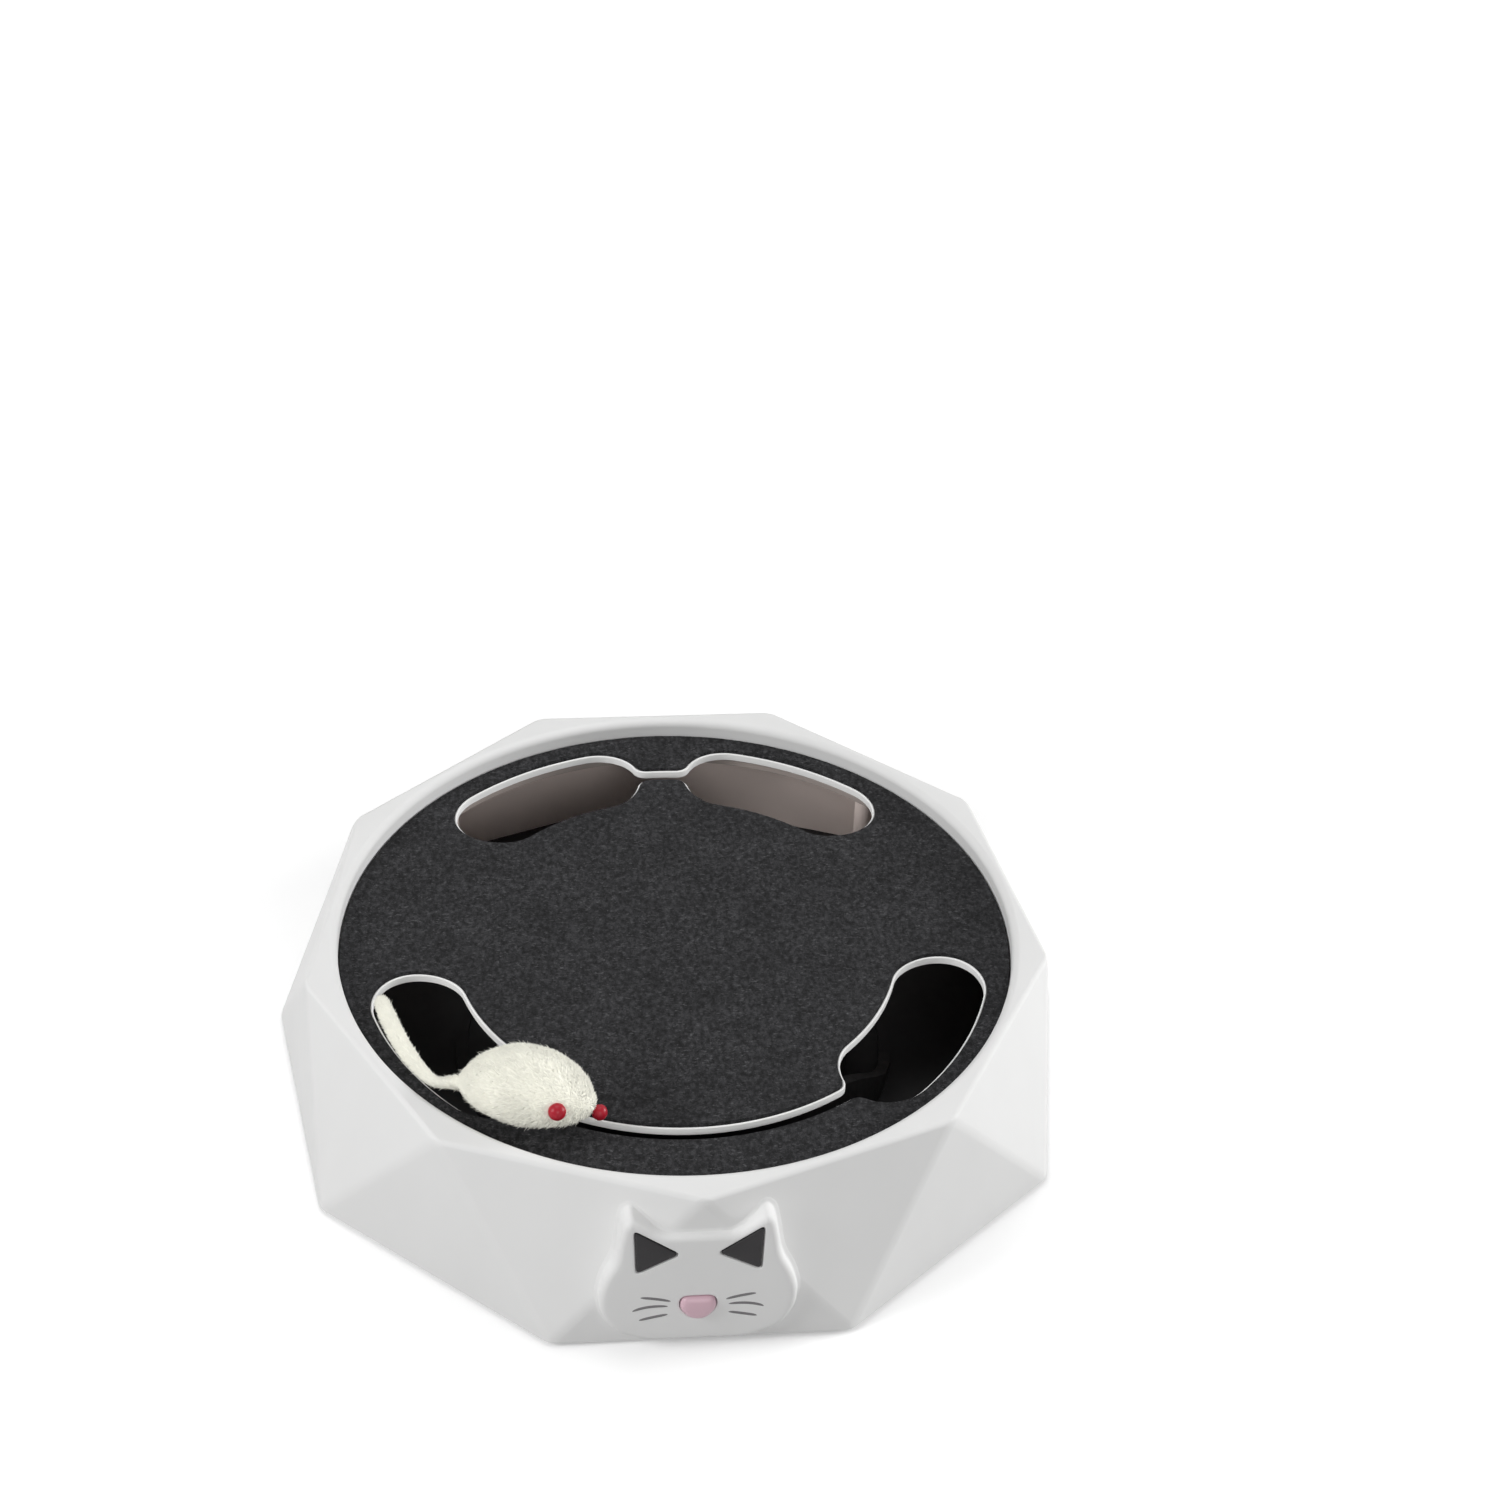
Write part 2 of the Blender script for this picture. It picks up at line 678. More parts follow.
def shell_piece():
    outside, unpolished, dull = 0, 1, 2
    bm, bottom_ring = soft_drum()
    bm.normal_update()
    lid = widest(bm, Vector((0, 0, 1)), 0.999)
    front = widest(bm, Vector((0, -math.cos(LEAN), math.sin(LEAN))), 0.9999)
    lid_ring, front_ring = ([loop.vert for loop in face.loops] for face in (lid, front))
    bmesh.ops.delete(bm, geom=[lid, front], context="FACES_ONLY")
    profile = well_profile()
    rings = [circle(bm, radius, z) for radius, z in profile]
    for first, second, (_, z) in zip(rings, rings[1:], profile):
        bridge(bm, first, second, outside if z > DECK_LOW + 0.2 else dull)
    fill_flat(bm, [lid_ring, rings[0]], plan)

    # Cavity behind the facets
    draw_in = WALL / HALF_PITCH_COS / math.cos(LEAN)
    top = corners_of(TOP_R - draw_in, TOP_START, HEIGHT)
    base = corners_of(BASE_R - draw_in, BASE_START, STAND)
    share = (HEIGHT - WALL - STAND) / FACET_H
    floor = [bm.verts.new(p) for p in base]
    lefts = [bm.verts.new(base[i].lerp(top[i], share)) for i in range(SIDES)]
    rights = [bm.verts.new(base[i].lerp(top[(i + 1) % SIDES], share)) for i in range(SIDES)]
    ceiling = [v for pair in zip(lefts, rights) for v in pair]
    fill_flat(bm, [ceiling, rings[-1]], plan, unpolished)
    fill_flat(bm, [bottom_ring, floor], plan)
    for corner in zip(floor, lefts, rights):
        bm.faces.new(corner).material_index = unpolished

    # Hole for the nose button through the front facet, a wall thickness deep
    hole = nose_loop(SEAT_GAP)
    mouth = facet_ring(bm, hole, 0)
    fill_flat(bm, [front_ring, mouth], facet_plan)
    for i in range(SIDES):
        quad = (floor[i - 1], floor[i], lefts[i], rights[i - 1])
        if i == 0:
            inner = facet_ring(bm, hole, -WALL)
            fill_flat(bm, [list(quad), inner], facet_plan, unpolished)
            bridge(bm, mouth, inner)
        else:
            bm.faces.new(quad).material_index = unpolished

    # Screw bosses stand in the corners of the cavity
    ridge = lerp(BASE_R, TOP_R * HALF_PITCH_COS, BOSS_UP / FACET_H)
    for angle in BOSS_ANGLES:
        foot = polar(ridge - WALL - BOSS_R + BOSS_INTO_WALL, angle, 0)
        turned(bm, boss_profile(), lambda p: foot + Vector(p) * MM, 20, unpolished)
    piece = new_object("faceted_shell", bm, 32)
    shading = piece.modifiers.new("even_shading", "WEIGHTED_NORMAL")
    shading.keep_sharp = True
    return dress(piece, "housing", "white_plastic", white, inner_white, ledge_shade,
                 covers=["upper_shell"])


shell = shell_piece()


# Deck: track outlines with fine steps, lips with rounded tops, and the felt round them
def ease(stations, corner, before, after):
    """Turns a sharp corner of the track's outline into a short curve."""
    ends = [np.array(stations[corner + step]) for step in (-before, 0, after)]
    for k in range(before + after + 1):
        stations[corner - before + k] = tuple(curve(*ends, k / (before + after)))


def track_loop(track, grow):
    """One track's outline as (radius, angle), grown all round."""
    start, slot_from, slot_to, end = track
    half = OPEN_W / 2
    span = math.degrees(half / TRACK_R)
    stretch = (half + grow) / half
    slot_half = SLOT_W / 2 + grow
    slot_turn = math.asin(slot_half / (half + grow))
    stations = []

    def round_end(centre, sign, first, last):
        for k in range(29):
            turn = lerp(first, last, k / 28)
            stations.append((centre + sign * span * stretch * math.cos(turn),
                             (half + grow) * math.sin(turn)))

    def run(first, last, width):
        count = max(2, round((last - first) / 0.8))
        for k in range(1, count):
            stations.append((lerp(first, last, k / count), width))

    round_end(start + span, -1, 0, math.pi / 2)
    run(start + span, slot_from - span, half + grow)
    round_end(slot_from - span, 1, math.pi / 2, slot_turn)
    ease_after = len(stations) - 1
    run(slot_from, slot_to, slot_half)
    ease_before = len(stations)
    round_end(slot_to + span, -1, slot_turn, math.pi / 2)
    run(slot_to + span, end - span, half + grow)
    round_end(end - span, 1, math.pi / 2, 0)
    ease(stations, ease_after, 5, 3)
    ease(stations, ease_before, 3, 5)
    outer = [(TRACK_R + width, angle) for angle, width in stations]
    inner = [(TRACK_R - width, angle) for angle, width in reversed(stations[1:-1])]
    return outer + inner


def lip_profile():
    """Out of the deck, over the lip's round top, down the hole and out under the deck."""
    half = LIP / 2
    profile = [(LIP, DECK_TOP), (LIP, LIP_TOP - half)]
    for k in range(1, 8):
        turn = math.pi * k / 8
        profile.append((half + half * math.cos(turn), LIP_TOP - half + half * math.sin(turn)))
    profile += [(0, LIP_TOP - half), (0, DECK_TOP - 0.5), (0.25, DECK_TOP - 0.75)]
    profile += [(UNDERCUT - 0.3, DECK_TOP - 0.85), (UNDERCUT, DECK_TOP - 1.1)]
    return profile + [(UNDERCUT, DECK_LOW)]


def deck_piece():
    bm = bmesh.new()
    soft = 0.3
    rim = [(FELT_R - soft, DECK_TOP), (FELT_R, DECK_TOP - soft),
           (FELT_R, DECK_LOW + soft), (FELT_R - soft, DECK_LOW)]
    rings = [circle(bm, radius, z) for radius, z in rim]
    bridge_all(bm, rings)
    tops, lows = [rings[0]], [rings[-1]]
    profile = lip_profile()
    for track in TRACKS:
        edges = [[bm.verts.new(polar(radius, angle, z))
                  for radius, angle in track_loop(track, grow)] for grow, z in profile]
        for first, second, (_, z) in zip(edges, edges[1:], profile):
            bridge(bm, first, second, 0 if z > DECK_TOP - 0.6 else 1)
        tops.append(edges[0])
        lows.append(edges[-1])
    fill_flat(bm, tops, plan)
    fill_flat(bm, lows, plan, 1)
    piece = new_object("deck_with_lips", bm, 40)
    dress(piece, "housing", "white_plastic", lip_white, ledge_shade, covers=["deck_plate"])


deck_piece()


def distance_to(points, loop, block=1500):
    """Distance of 2D points to a closed outline, a block of points at a time."""
    a = np.asarray(loop, float)
    b = np.roll(a, -1, axis=0)
    points = np.asarray(points, float)
    best = np.full(len(points), 1e9)
    along = b - a
    length = np.maximum((along ** 2).sum(axis=1), 1e-12)
    for start in range(0, len(points), block):
        p = points[start:start + block, None, :]
        t = np.clip(((p - a) * along).sum(axis=2) / length, 0, 1)
        gap = np.hypot(*np.moveaxis(p - (a + t[..., None] * along), 2, 0))
        best[start:start + block] = gap.min(axis=1)
    return best


def felt_piece():
    bm = bmesh.new()
    rng = np.random.default_rng(11)

    def ragged(loop, z, amount):
        verts = []
        for radius, angle in loop:
            place = polar(radius, angle, z)
            way = noise.noise(place * 900) * amount + noise.noise(place * 260) * amount
            verts.append(bm.verts.new(polar(radius + way, angle, z + 0.4 * way)))
        return verts

    steps = 480
    foot = DECK_TOP + 0.05
    edge = [(FELT_R - 0.05, 360 * i / steps) for i in range(steps)]
    outer = [ragged([(r - inset, a) for r, a in edge], z, 0.05) for inset, z in (
        (0.35, FELT_TOP), (0.08, FELT_TOP - 0.3), (0, FELT_TOP - 1), (0, foot))]
    bridge_all(bm, outer)
    tops, lows = [outer[0]], [outer[-1]]
    for track in TRACKS:
        sides = [ragged(track_loop(track, LIP + grow), z, 0.06) for grow, z in (
            (0.22, FELT_TOP), (0.08, FELT_TOP - 0.25), (0.04, FELT_TOP - 0.9), (0.04, foot))]
        bridge_all(bm, sides)
        tops.append(sides[0])
        lows.append(sides[-1])
    fill_flat(bm, lows, plan)

    # The top face gets scattered points, so that it can rise and dip a little
    pitch = 1.5
    reach = int(FELT_R / pitch) + 1
    cells = range(-reach, reach + 1)
    grid = np.array([(i * pitch, j * pitch) for i in cells for j in cells])
    grid = grid + rng.uniform(-0.5, 0.5, grid.shape)
    grid = grid[np.hypot(grid[:, 0], grid[:, 1]) < FELT_R - 1.2]
    grid = grid + np.array([AXIS.x / MM, AXIS.y / MM])
    loops = [[plan(v.co) for v in loop] for loop in tops]
    keep = inside(grid, loops)
    for loop in loops[1:]:
        points, block = np.asarray(loop), 2000
        for start in range(0, len(grid), block):
            gaps = grid[start:start + block, None, :] - points[None, :, :]
            near = np.hypot(gaps[:, :, 0], gaps[:, :, 1]).min(axis=1)
            keep[start:start + block] &= near > 0.7
    grid = grid[keep]
    verts = [v for loop in tops for v in loop]
    for x, y in grid:
        lift = noise.noise(Vector((x, y, 0)) * 0.45) * 0.06
        lift += noise.noise(Vector((x, y, 5)) * 0.08) * 0.08
        place = Vector((x * MM, y * MM, FELT_TOP * MM + (lift - 0.07) * MM))
        verts.append(bm.verts.new(place))
    for face in triangles(loops, [tuple(p) for p in grid]):
        bm.faces.new([verts[k] for k in face])
    piece = new_object("felt_deck_pad", bm, 60)
    dress(piece, "housing", "charcoal_felt", felt, covers=["felt_pad"])


felt_piece()


# Cat face: a raised plaque whose edge rolls over and meets the facets behind it
def outward(loop):
    """Unit outward directions at the points of a closed 2D loop."""
    count = len(loop)
    area = sum(loop[i - 1].cross(loop[i]) for i in range(count))
    side = 1 if area > 0 else -1
    result = []
    for i in range(count):
        along = (loop[(i + 1) % count] - loop[i - 1]).normalized()
        result.append(Vector((along.y, -along.x)) * side)
    return result


def raised_form(bm, loops, height_at, insets, pitch):
    """A crowned face over an outline with holes. height_at takes the distances to the outline
    and to the holes, and the place. Returns the rings of vertices on the loops."""
    flat_loops = [[tuple(p) for p in loop] for loop in loops]

    def edge_gap(points):
        return np.minimum.reduce([distance_to(points, loop) for loop in flat_loops])

    extra = []
    for number, loop in enumerate(loops):
        ways = outward(loop)
        sign = -1 if number == 0 else 1
        for inset in insets:
            points = [p + w * sign * inset for p, w in zip(loop, ways)]
            extra += [tuple(p) for p, g in zip(points, edge_gap(points)) if g > inset * 0.93]
    box = np.array(flat_loops[0])
    low, high = box.min(axis=0), box.max(axis=0)
    grid = [(x, y) for x in np.arange(low[0], high[0], pitch)
            for y in np.arange(low[1], high[1], pitch)]
    extra += [p for p, g in zip(grid, edge_gap(grid)) if g > insets[-1] + pitch * 0.4]
    extra = np.array(extra)
    extra = extra[inside(extra, flat_loops)]
    points = np.array([p for loop in flat_loops for p in loop] + [tuple(p) for p in extra])
    from_edge = distance_to(points, flat_loops[0])
    from_hole = np.full(len(points), 1e3)
    for hole in flat_loops[1:]:
        from_hole = np.minimum(from_hole, distance_to(points, hole))
    verts = [bm.verts.new(on_facet(x, y, height_at(e, h, x, y)))
             for (x, y), e, h in zip(points, from_edge, from_hole)]
    for face in triangles(flat_loops, [tuple(p) for p in extra]):
        bm.faces.new([verts[k] for k in face])
    rings, start = [], 0
    for loop in loops:
        rings.append(verts[start:start + len(loop)])
        start += len(loop)
    return rings


def roll(distance, width, drop):
    """How far a rolled edge falls at a distance inside it."""
    if distance >= width:
        return 0
    share = 1 - distance / width
    return drop * (1 - math.sqrt(max(0, 1 - share * share)))


def depths_behind(outline):
    """Depth of the shell's skin behind each point of an outline, evened out along it."""
    skin = BVHTree.FromObject(shell, bpy.context.evaluated_depsgraph_get())
    inward = (on_facet(0, 0, -1) - on_facet(0, 0, 0)).normalized()
    depths = []
    for p in outline:
        hit = skin.ray_cast(on_facet(p.x, p.y, 30), inward)
        depths.append(facet_flat(hit[0])[2] if hit[0] is not None else -11)
    depths = [min(0, d) for d in depths]
    count = len(depths)
    return [sum(depths[(i + k) % count] for k in range(-2, 3)) / 5 for i in range(count)]


def plaque_piece():
    bm = bmesh.new()
    outer = face_loop()
    holes = [eye_loop(-1, SEAT_GAP), eye_loop(1, SEAT_GAP), nose_loop(SEAT_GAP)]
    if sum(outer[i - 1].cross(outer[i]) for i in range(len(outer))) < 0:
        outer.reverse()

    def height(edge, hole, x, y):
        return FACE_RISE - roll(edge, FACE_ROLL, FACE_ROLL_DROP) - roll(hole, 0.5, 0.35)

    insets = (0.08, 0.25, 0.5, 0.85, 1.25, 1.65, 2.05)
    rings = raised_form(bm, [outer] + holes, height, insets, 1.6)
    depths = depths_behind(outer)
    previous = rings[0]
    start_height = FACE_RISE - FACE_ROLL + 0.2
    skirt = ((0.05, 0.75), (0.1, 0.45), (0.35, 0.2), (0.8, 0.05), (1.3, -0.35), (0.2, -1.2))
    for grow, lift in skirt:
        ring = []
        for p, w, d in zip(outer, outward(outer), depths):
            q = p + w * grow
            z = d + lift * min(start_height - d, 1.5) / 1.1 if lift > 0 else d + lift
            ring.append(bm.verts.new(on_facet(q.x, max(q.y, 0.35), z)))
        bridge(bm, previous, ring)
        previous = ring
    fill_flat(bm, [previous], facet_plan)
    for ring, deep in zip(rings[1:], (1.0, 1.0, -1.0)):
        fill_flat(bm, [sunk(bm, ring, deep)], facet_plan)
    piece = new_object("cat_face_plaque", bm, 40)
    dress(piece, "housing", "white_plastic", white, covers=["cat_face_plate"])


plaque_piece()


def inlay_piece(side, name, node):
    bm = bmesh.new()

    def height(edge, hole, x, y):
        return FACE_RISE + 0.3 - roll(edge, 0.7, 0.5) - 0.12 * (1 - smooth(edge / 3))

    rings = raised_form(bm, [eye_loop(side, 0)], height, (0.1, 0.28, 0.5, 0.75), 1.2)
    fill_flat(bm, [sunk(bm, rings[0], FACE_RISE - 1.2)], facet_plan)
    piece = new_object(name, bm, 45)
    dress(piece, "housing", "black_plastic", eye_black, covers=[node])


inlay_piece(-1, "left_eye_tile", "left_eye_inlay")
inlay_piece(1, "right_eye_tile", "right_eye_inlay")


def nose_piece():
    bm = bmesh.new()
    middle_up = NOSE_LOW + NOSE_H / 2

    def height(edge, hole, x, y):
        crown = ((x - FACE_SHIFT) / NOSE_HALF) ** 2 + ((y - middle_up) / NOSE_H * 2) ** 2
        return FACE_RISE + 1.5 - roll(edge, 1.7, 1.5) - 0.25 * crown

    def stem_ring(radius, depth):
        turns = full_turn(32)
        return facet_ring(bm, [(radius * math.cos(a), STEM_UP + radius * math.sin(a))
                               for a in turns], depth)

    insets = (0.08, 0.22, 0.42, 0.7, 1.05, 1.5)
    edge = raised_form(bm, [nose_loop(0)], height, insets, 0.8)[0]
    foot = sunk(bm, sunk(bm, edge, 1.6), -WALL + 0.3)
    stem = [stem_ring(STEM_R, -WALL + 0.3)]
    fill_flat(bm, [foot, stem[0]], facet_plan)
    stem += [stem_ring(STEM_R, -WALL - 2.7), stem_ring(STEM_R - 0.3, -WALL - 3)]
    bridge_all(bm, stem)
    bm.faces.new(stem[-1])
    piece = new_object("pink_nose_button", bm, 50)
    dress(piece, "nose_button", "pink_plastic", pink, covers=["nose_button"])


nose_piece()


def whisker_piece():
    """Thin raised lines on the plaque, fullest in the middle."""
    bm = bmesh.new()
    for side in (-1, 1):
        for first, middle, last in (map(Vector, line) for line in WHISKERS):
            rings = []
            for k in range(25):
                t = k / 24
                p = curve(first, middle, last, t)
                along = (middle - first) * (1 - t) + (last - middle) * t
                across = Vector((-along.y, along.x)).normalized()
                half = WHISKER_HALF * math.sqrt(max(0.02, 1 - (2 * t - 1) ** 4))
                ring = []
                for a in [math.pi * turn / 5 for turn in range(6)]:
                    q = p + across * half * math.cos(a)
                    rise = FACE_RISE - 0.12 + 0.26 * math.sin(a)
                    ring.append(bm.verts.new(on_facet(FACE_SHIFT - side * q.x, q.y, rise)))
                rings.append(ring)
            capped(bm, rings)
    piece = new_object("whisker_lines", bm, 60)
    dress(piece, "housing", "black_plastic", line_grey)


whisker_piece()


# Mouse: a stuffed body, its pile, a trailing tail and bead eyes
def mouse_frame():
    place = polar(MOUSE_R, MOUSE_ANGLE, MOUSE_Z)
    spin = Matrix.Rotation(math.radians(MOUSE_HEADING), 4, "Z")
    return Matrix.Translation(place) @ spin @ Matrix.Scale(MM, 4)


MOUSE = mouse_frame()


def swell(share):
    """Half width along the body, as a share of the fullest, with finer ends than an ellipse."""
    return max(0, 1 - (2 * share - 1) ** 2) ** (RUMP_POWER if share < WAIST else SNOUT_POWER)


def mouse_form(bm, inset, stations=56, sides=44):
    """The body, rump to snout. Both ends hang low, so the belly is flatter than the back."""
    shares = [0.5 - 0.5 * math.cos(math.pi * k / stations) for k in range(1, stations)]
    rings = []
    for share in shares:
        fat = swell(share)
        sag = (1 - fat) * (RUMP_SAG if share < WAIST else SNOUT_SAG)
        half_w = max(0.1, MOUSE_W / 2 * fat - inset)
        half_h = max(0.1, MOUSE_H / 2 * fat - inset)
        x = (share - 0.5) * (MOUSE_L - 2 * inset)
        ring = []
        for turn in full_turn(sides):
            y, z = math.cos(turn), math.sin(turn)
            power = 0.86 if z < 0 else 1
            across = half_w * math.copysign(abs(y) ** power, y)
            ring.append(bm.verts.new((x, across, half_h * z - sag)))
        rings.append(ring)
    bridge_all(bm, rings)
    rump = bm.verts.new((-(MOUSE_L / 2 - inset), 0, -RUMP_SAG))
    snout = bm.verts.new((MOUSE_L / 2 - inset, 0, -SNOUT_SAG))
    bridge(bm, [rump], rings[0])
    bridge(bm, [snout], rings[-1])


def places_of(piece):
    flat = np.empty(len(piece.data.vertices) * 3)
    piece.data.vertices.foreach_get("co", flat)
    return flat.reshape(-1, 3)


def stuffed(piece, voxel, cap, frames=20):
    """Swells a stuffed piece with a short cloth run, no point further than cap, and keeps it."""
    remesh = piece.modifiers.new("even", "REMESH")
    remesh.mode = "VOXEL"
    remesh.voxel_size = voxel
    keep_modifiers(piece)
    start = places_of(piece)
    cloth = piece.modifiers.new("cloth", "CLOTH").settings
    cloth.use_pressure = True
    cloth.uniform_pressure_force = 4
    cloth.tension_stiffness = 30
    cloth.compression_stiffness = 10
    cloth.bending_stiffness = 0.6
    cloth.mass = 0.25
    cloth.effector_weights.gravity = 0
    for number in range(1, frames + 1):
        scene.frame_set(number)
    keep_modifiers(piece)
    scene.frame_set(1)
    move = np.nan_to_num(places_of(piece) - start, posinf=0, neginf=0)
    far = np.linalg.norm(move, axis=1, keepdims=True)
    limit = np.minimum(1, cap / np.maximum(far, 1e-12))
    piece.data.vertices.foreach_set("co", (start + move * limit).ravel())
    piece.data.update()


def soften(piece):
    piece.modifiers.new("soften", "SUBSURF").levels = 1
    keep_modifiers(piece)


def mouse_body_piece():
    bm = bmesh.new()
    mouse_form(bm, 1.1)
    bmesh.ops.recalc_face_normals(bm, faces=bm.faces)
    for v in bm.verts:
        lump = noise.noise(v.co * 0.16) * 0.35 + noise.noise(v.co * 0.4) * 0.12
        v.co += v.normal * lump
    bmesh.ops.transform(bm, matrix=MOUSE, verts=bm.verts)
    piece = new_object("plush_mouse_body", bm, 80)
    stuffed(piece, 0.9 * MM, 0.5 * MM)
    soften(piece)
    piece.data.shade_smooth()
    dress(piece, "rotor", "cream_plush", cream_skin, covers=["mouse_body"])
    return piece


mouse_body = mouse_body_piece()


# Eyes and nose: (name, node, place in the mouse's own frame, radius). The photograph doesn't
# show the far eye, so it sits a little deeper in the plush.
EYE_AT = Vector((0.277 * MOUSE_L, 0.35 * MOUSE_W, 0.058 * MOUSE_H))
BEADS = [
    ("left_bead_eye", "mouse_left_eye", EYE_AT - Vector((0.6, 0.8, 1.4)), EYE_R),
    ("right_bead_eye", "mouse_right_eye", EYE_AT * Vector((1, -1, 1)), EYE_R),
    ("bead_nose", "mouse_nose", Vector((MOUSE_L / 2, 0, -RUMP_SAG)), 0.054 * MOUSE_L),
]


def bead_piece(name, node, place, radius):
    """A glossy bead: slightly flattened, with a fine moulding step round its seat."""
    bm = bmesh.new()
    out = Vector((0.25, math.copysign(1, place.y), 0.25)).normalized()
    if "nose" in name:
        out = Vector((1, 0, 0))
    turn = out.to_track_quat("Z", "Y").to_matrix().to_4x4()
    profile = [(0, 1)]
    for k in range(1, 15):
        a = math.pi / 2 * k / 14
        profile.append((math.sin(a), math.cos(a) * 0.94))
    profile += [(1.0, -0.08), (0.93, -0.14), (0.93, -0.3), (0.8, -0.6), (0.45, -0.88), (0, -0.95)]
    turned(bm, profile, Vector, 40)
    seat = MOUSE @ Matrix.Translation(place) @ turn @ Matrix.Scale(radius, 4)
    bmesh.ops.transform(bm, matrix=seat, verts=bm.verts)
    piece = new_object(name, bm, 50)
    dress(piece, "rotor", "red_bead", red, covers=[node])


for bead in BEADS:
    bead_piece(*bead)


# Tail: the same curve as the part's own tail, with its bend behind the rump
def tail_points():
    low = FELT_TOP + 0.4 + TAIL_R
    backward = math.radians(MOUSE_HEADING + 180)
    centre = (polar(MOUSE_R, MOUSE_ANGLE, 0) - at(0, 0, 0)) / MM
    reach = MOUSE_L / 2 - 2.5
    root = centre.to_2d() + Vector((math.cos(backward), math.sin(backward))) * reach
    root_angle = math.degrees(math.atan2(root.y, root.x))
    root_z = MOUSE_Z - RUMP_SAG
    points = []
    for k in range(41):
        share = k / 40
        trail = max(share, TAIL_BEND)
        out = lerp(1.01, 0.8, smooth((trail - TAIL_BEND) / (1 - TAIL_BEND)))
        angle = lerp(root_angle, TAIL_TIP, trail)
        place = polar(TRACK_R + OPEN_W / 2 * out, angle, 0) - at(0, 0, 0)
        spot = root.lerp(place.to_2d() / MM, min(1, share / TAIL_BEND))
        points.append(at(spot.x, spot.y, lerp(root_z, low, smooth(share / (2 * TAIL_BEND)))))
    for _ in range(3):
        points[1:-1] = [(points[k - 1] + points[k] * 2 + points[k + 1]) / 4 for k in range(1, 40)]
    return points


def tail_radius(share):
    place = share * (len(TAIL_SIZES) - 1)
    row = min(int(place), len(TAIL_SIZES) - 2)
    body = TAIL_R * lerp(TAIL_SIZES[row], TAIL_SIZES[row + 1], place - row)
    return body * math.sqrt(max(0, 1 - max(0, (share - 0.955) / 0.045) ** 2))


def tail_piece():
    bm = bmesh.new()
    points = tail_points()
    rings = []
    for k, point in enumerate(points):
        along = (points[min(k + 1, 40)] - points[max(k - 1, 0)]).normalized()
        side = along.cross(Vector((0, 0, 1))).normalized()
        rise = side.cross(along)
        radius = max(0.25, tail_radius(k / 40) - 0.45)
        radius *= 1 + 0.07 * noise.noise(point * 260)
        rings.append([bm.verts.new(point + (side * math.cos(a) + rise * math.sin(a)) * radius * MM)
                      for a in full_turn(20)])
    capped(bm, rings)
    piece = new_object("plush_mouse_tail", bm, 80)
    soften(piece)
    dress(piece, "rotor", "cream_plush", cream_skin, covers=["mouse_tail"])
    return piece


tail = tail_piece()


# Pile: short tapered strands that lean back from the snout
def unit(rows, least=0.0):
    return rows / np.maximum(np.linalg.norm(rows, axis=1, keepdims=True), least)


def scattered(mesh, count, rng):
    """Random places over a mesh, even by area, with the skin's normals there."""
    mesh.calc_loop_triangles()
    tris = np.array([t.vertices[:] for t in mesh.loop_triangles])
    co = np.array([v.co[:] for v in mesh.vertices])
    normals = np.array([v.normal[:] for v in mesh.vertices])
    a, b, c = co[tris[:, 0]], co[tris[:, 1]], co[tris[:, 2]]
    areas = np.linalg.norm(np.cross(b - a, c - a), axis=1)
    pick = rng.choice(len(tris), count, p=areas / areas.sum())
    u, v = rng.random(count), rng.random(count)
    flip = u + v > 1
    u[flip], v[flip] = 1 - u[flip], 1 - v[flip]
    w = 1 - u - v
    u, v, w = u[:, None], v[:, None], w[:, None]
    picked = tris[pick]
    places = a[pick] * w + b[pick] * u + c[pick] * v
    ups = normals[picked[:, 0]] * w + normals[picked[:, 1]] * u + normals[picked[:, 2]] * v
    return places, unit(ups)


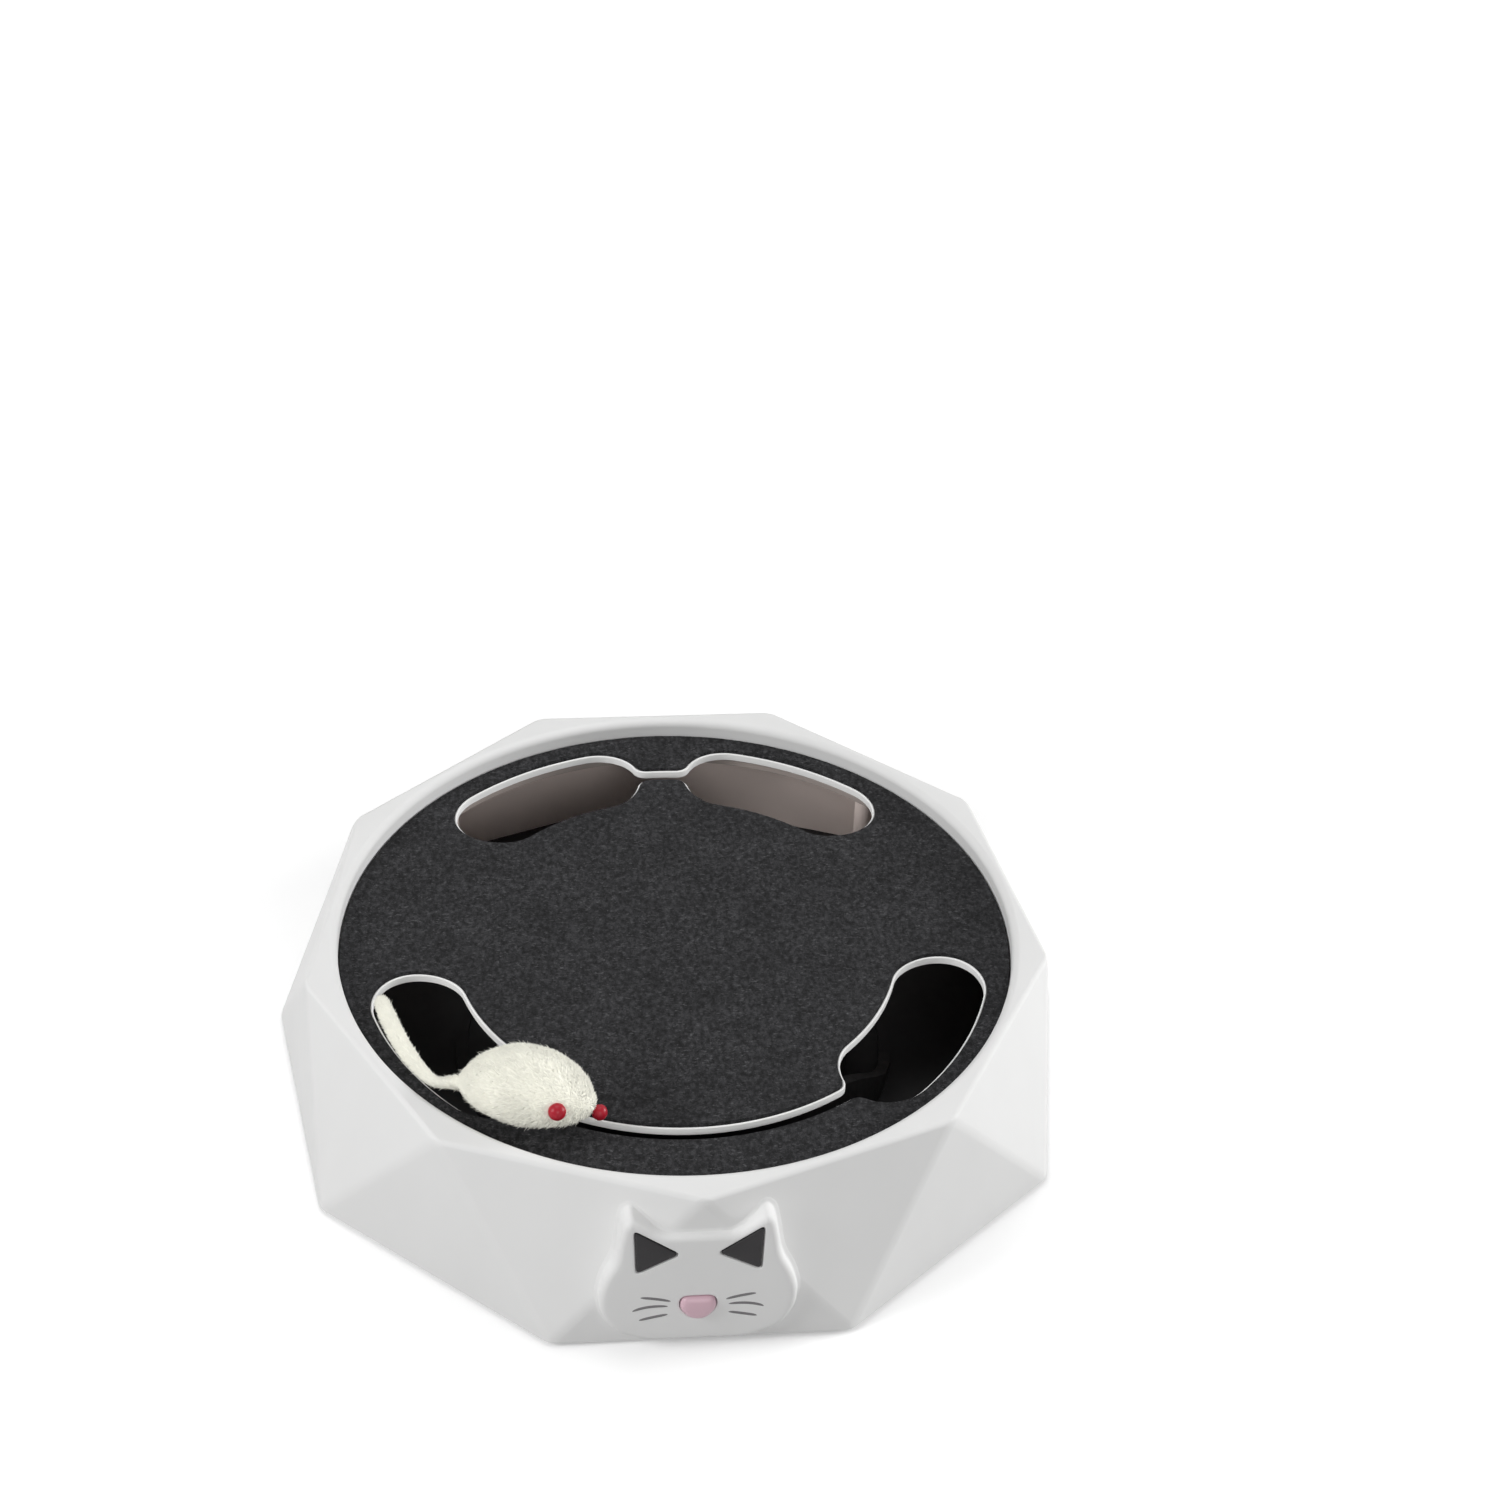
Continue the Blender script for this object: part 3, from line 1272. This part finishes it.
def pile_piece(name, source, count, length, width, seed, backward, bare, floor_z):
    """Strands of six root and waist points and a tip, none in the bare places or below floor_z."""
    rng = np.random.default_rng(seed)
    roots, ups = scattered(source.data, count, rng)
    backs = np.tile(np.array(backward[:]), (count, 1))
    backs -= ups * (backs * ups).sum(axis=1, keepdims=True)
    backs = unit(backs, 1e-9)
    keep = np.ones(count, bool)
    for place, radius in bare:
        keep &= np.linalg.norm(roots - np.array(place), axis=1) > radius
    roots, ups, backs = roots[keep], ups[keep], backs[keep]
    total = len(roots)
    swirl = rng.normal(0, 0.35, (total, 3))
    rise = rng.uniform(0.55, 1.0, (total, 1))
    lengths = length * rng.uniform(0.7, 1.15, (total, 1))
    lengths = lengths * np.where(rng.random((total, 1)) < 0.04, 1.6, 1)
    way = unit(ups * rise + backs * (1.15 - 0.5 * rise) + swirl * 0.5)
    tip_way = unit(way + backs * 0.55 + swirl * 0.3)
    middle = roots + way * lengths * 0.55
    tips = middle + tip_way * lengths * 0.5
    for points in (middle, tips):
        points[:, 2] = np.maximum(points[:, 2], floor_z)
    across = unit(np.cross(way, rng.normal(0, 1, (total, 3))))
    other = np.cross(way, across)
    verts = []
    for centre, half in ((roots - ups * 0.1 * MM, width * 0.5), (middle, width * 0.4)):
        for turn in full_turn(3):
            verts.append(centre + (across * math.cos(turn) + other * math.sin(turn)) * half)
    verts = np.stack(verts + [tips], axis=1).reshape(-1, 3)
    base = np.arange(total)[:, None] * 7
    sides = np.concatenate([base + np.array(q) for q in ((0, 1, 4, 3), (1, 2, 5, 4), (2, 0, 3, 5))])
    ends = np.concatenate([base + np.array(t) for t in ((3, 4, 6), (4, 5, 6), (5, 3, 6))])
    mesh = bpy.data.meshes.new(name)
    mesh.from_pydata(verts.tolist(), [], sides.tolist() + ends.tolist())
    mesh.shade_smooth()
    facing = unit(ups + swirl * 1.1 + np.array((0, 0, 0.5)))
    mesh.normals_split_custom_set_from_vertices(np.repeat(facing, 7, axis=0).tolist())
    piece = linked(name, mesh)
    # Thin cream fibres let light through, so the strands cast no shadow on each other
    piece.visible_shadow = False
    dress(piece, "rotor", "cream_plush", cream_pile)


bare_places = [(MOUSE @ place, radius * 1.12 * MM) for _, _, place, radius in BEADS]
pile_piece("mouse_pile", mouse_body, 17000, 1.35 * MM, 0.25 * MM, 5,
           MOUSE.to_3x3() @ Vector((-1, 0, 0.05)), bare_places, (FELT_TOP + 0.35) * MM)
pile_piece("tail_pile", tail, 6500, 1.1 * MM, 0.2 * MM, 9,
           Vector((-0.6, 0.8, 0)), (), (FELT_TOP + 0.25) * MM)


# Floor, lamps and world
def seen_directly(tree):
    """One for camera, glossy and transmission rays, zero for the rays that carry light."""
    path = put(tree, "ShaderNodeLightPath").outputs
    value = path["Is Camera Ray"]
    for other in ("Is Glossy Ray", "Is Transmission Ray"):
        most = put(tree, "ShaderNodeMath", {0: value, 1: path[other]}, operation="MAXIMUM")
        value = most.outputs["Value"]
    return value


def stage_floor():
    bm = bmesh.new()
    bmesh.ops.create_grid(bm, x_segments=2, y_segments=2, size=FLOOR_HALF)
    floor = mesh_object("studio_floor", bm)
    maker, tree, bsdf = shader("studio_floor_white", Roughness=0.9, Specular_IOR_Level=0)
    seen = seen_directly(tree)
    tone = mixed(tree, (FLOOR_GREY,) * 3, (1, 1, 1), "MIX", seen)
    # Where it is seen, the floor fades to plain white away from the toy
    away = put(tree, "ShaderNodeVectorMath", {0: coords(tree)}, operation="LENGTH")
    fade = rescale(tree, away.outputs["Value"], FLOOR_GLOW, 1, 0.25, 0.9)
    glow = put(tree, "ShaderNodeMath", {0: fade, 1: seen}, operation="MULTIPLY")
    feed(tree, bsdf, {"Base Color": tone, "Emission Color": (1, 1, 1),
                      "Emission Strength": glow.outputs["Value"]})
    floor.data.materials.append(maker)


def area_lamp(name, azimuth, elevation, size, power):
    data = bpy.data.lights.new(name, "AREA")
    data.shape = "DISK"
    data.size = size
    data.energy = power
    lamp = linked(name, data)
    turn, rise = math.radians(azimuth), math.radians(elevation)
    way = Vector((math.cos(turn) * math.cos(rise), math.sin(turn) * math.cos(rise),
                  math.sin(rise)))
    lamp.location = LAMP_TARGET + way * LAMP_DISTANCE
    lamp.rotation_euler = way.to_track_quat("Z", "Y").to_euler()


def make_world():
    world = bpy.data.worlds.new("studio")
    scene.world = world
    world.use_nodes = True
    tree = world.node_tree
    tree.nodes.clear()
    seen = seen_directly(tree)
    plain, bright = (put(tree, "ShaderNodeBackground", {"Color": (1, 1, 1), "Strength": strength})
                     for strength in (WORLD_LIGHT, 1))
    choose = put(tree, "ShaderNodeMixShader", {
        0: seen, 1: plain.outputs["Background"], 2: bright.outputs["Background"]})
    put(tree, "ShaderNodeOutputWorld", {"Surface": choose.outputs["Shader"]})


stage_floor()
make_world()
for lamp in LAMPS:
    area_lamp(*lamp)
scene.view_settings.view_transform = "Standard"
